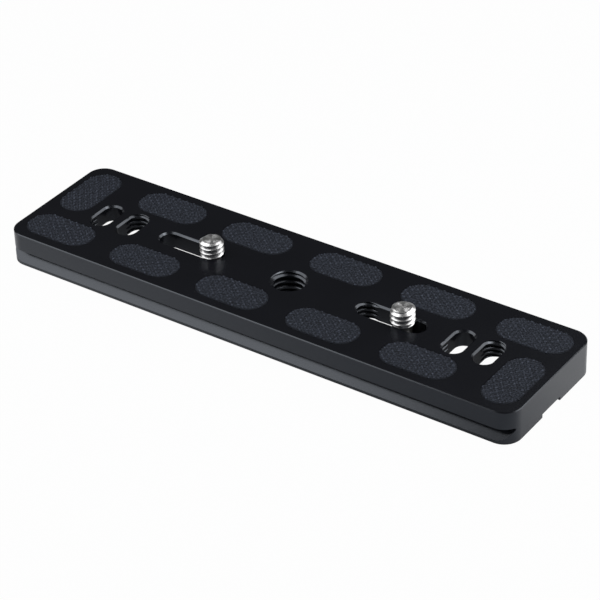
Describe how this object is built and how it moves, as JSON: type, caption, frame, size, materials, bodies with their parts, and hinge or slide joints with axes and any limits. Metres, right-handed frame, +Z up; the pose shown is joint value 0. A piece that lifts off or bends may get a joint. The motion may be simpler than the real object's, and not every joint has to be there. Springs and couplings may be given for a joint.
{
  "type": "tripod quick release plate",
  "caption": "Long flat quick release plate with dovetail sides, rubber pads and captive sliding camera screws, for clamping a camera or lens to a tripod head.",
  "frame": {"origin": "middle of the plate's underside, on the surface it rests on", "axes": "+X along the plate's length, towards the end whose cross pad lies at the front; +Y across it; +Z up, out of the padded face"},
  "size_m": [0.15, 0.0386, 0.0133],
  "materials": {
    "black_anodised": "black satin anodised",
    "grip_rubber": "matte, fine woven texture",
    "screw_steel": "bright turned stainless",
    "washer_nylon": "matte black nylon"
  },
  "bodies": {
    "plate": {"plate_body": "black_anodised", "pad_front_1": "grip_rubber", "pad_front_2": "grip_rubber", "pad_front_3": "grip_rubber", "pad_front_4": "grip_rubber", "pad_front_5": "grip_rubber", "pad_back_1": "grip_rubber", "pad_back_2": "grip_rubber", "pad_back_3": "grip_rubber", "pad_back_4": "grip_rubber", "pad_back_5": "grip_rubber", "pad_end_left": "grip_rubber", "pad_end_right": "grip_rubber"},
    "left_washer": {"retaining_washer_left": "washer_nylon"},
    "left_screw": {"camera_screw_left": "screw_steel"},
    "right_washer": {"retaining_washer_right": "washer_nylon"},
    "right_screw": {"camera_screw_right": "screw_steel"}
  },
  "joints": [
    {"name": "left_screw_slide", "type": "slide", "parent": "plate", "child": "left_washer", "axis": [1, 0, 0], "range_m": [-0.0133, 0.0005]},
    {"name": "left_screw_turn", "type": "hinge", "parent": "left_washer", "child": "left_screw", "pos_m": [-0.0236, 0, 0.005], "axis": [0, 0, 1], "continuous": true},
    {"name": "right_screw_slide", "type": "slide", "parent": "plate", "child": "right_washer", "axis": [1, 0, 0], "range_m": [-0.0102, 0.0036]},
    {"name": "right_screw_turn", "type": "hinge", "parent": "right_washer", "child": "right_screw", "pos_m": [0.0333, 0, 0.005], "axis": [0, 0, 1], "continuous": true}
  ]
}
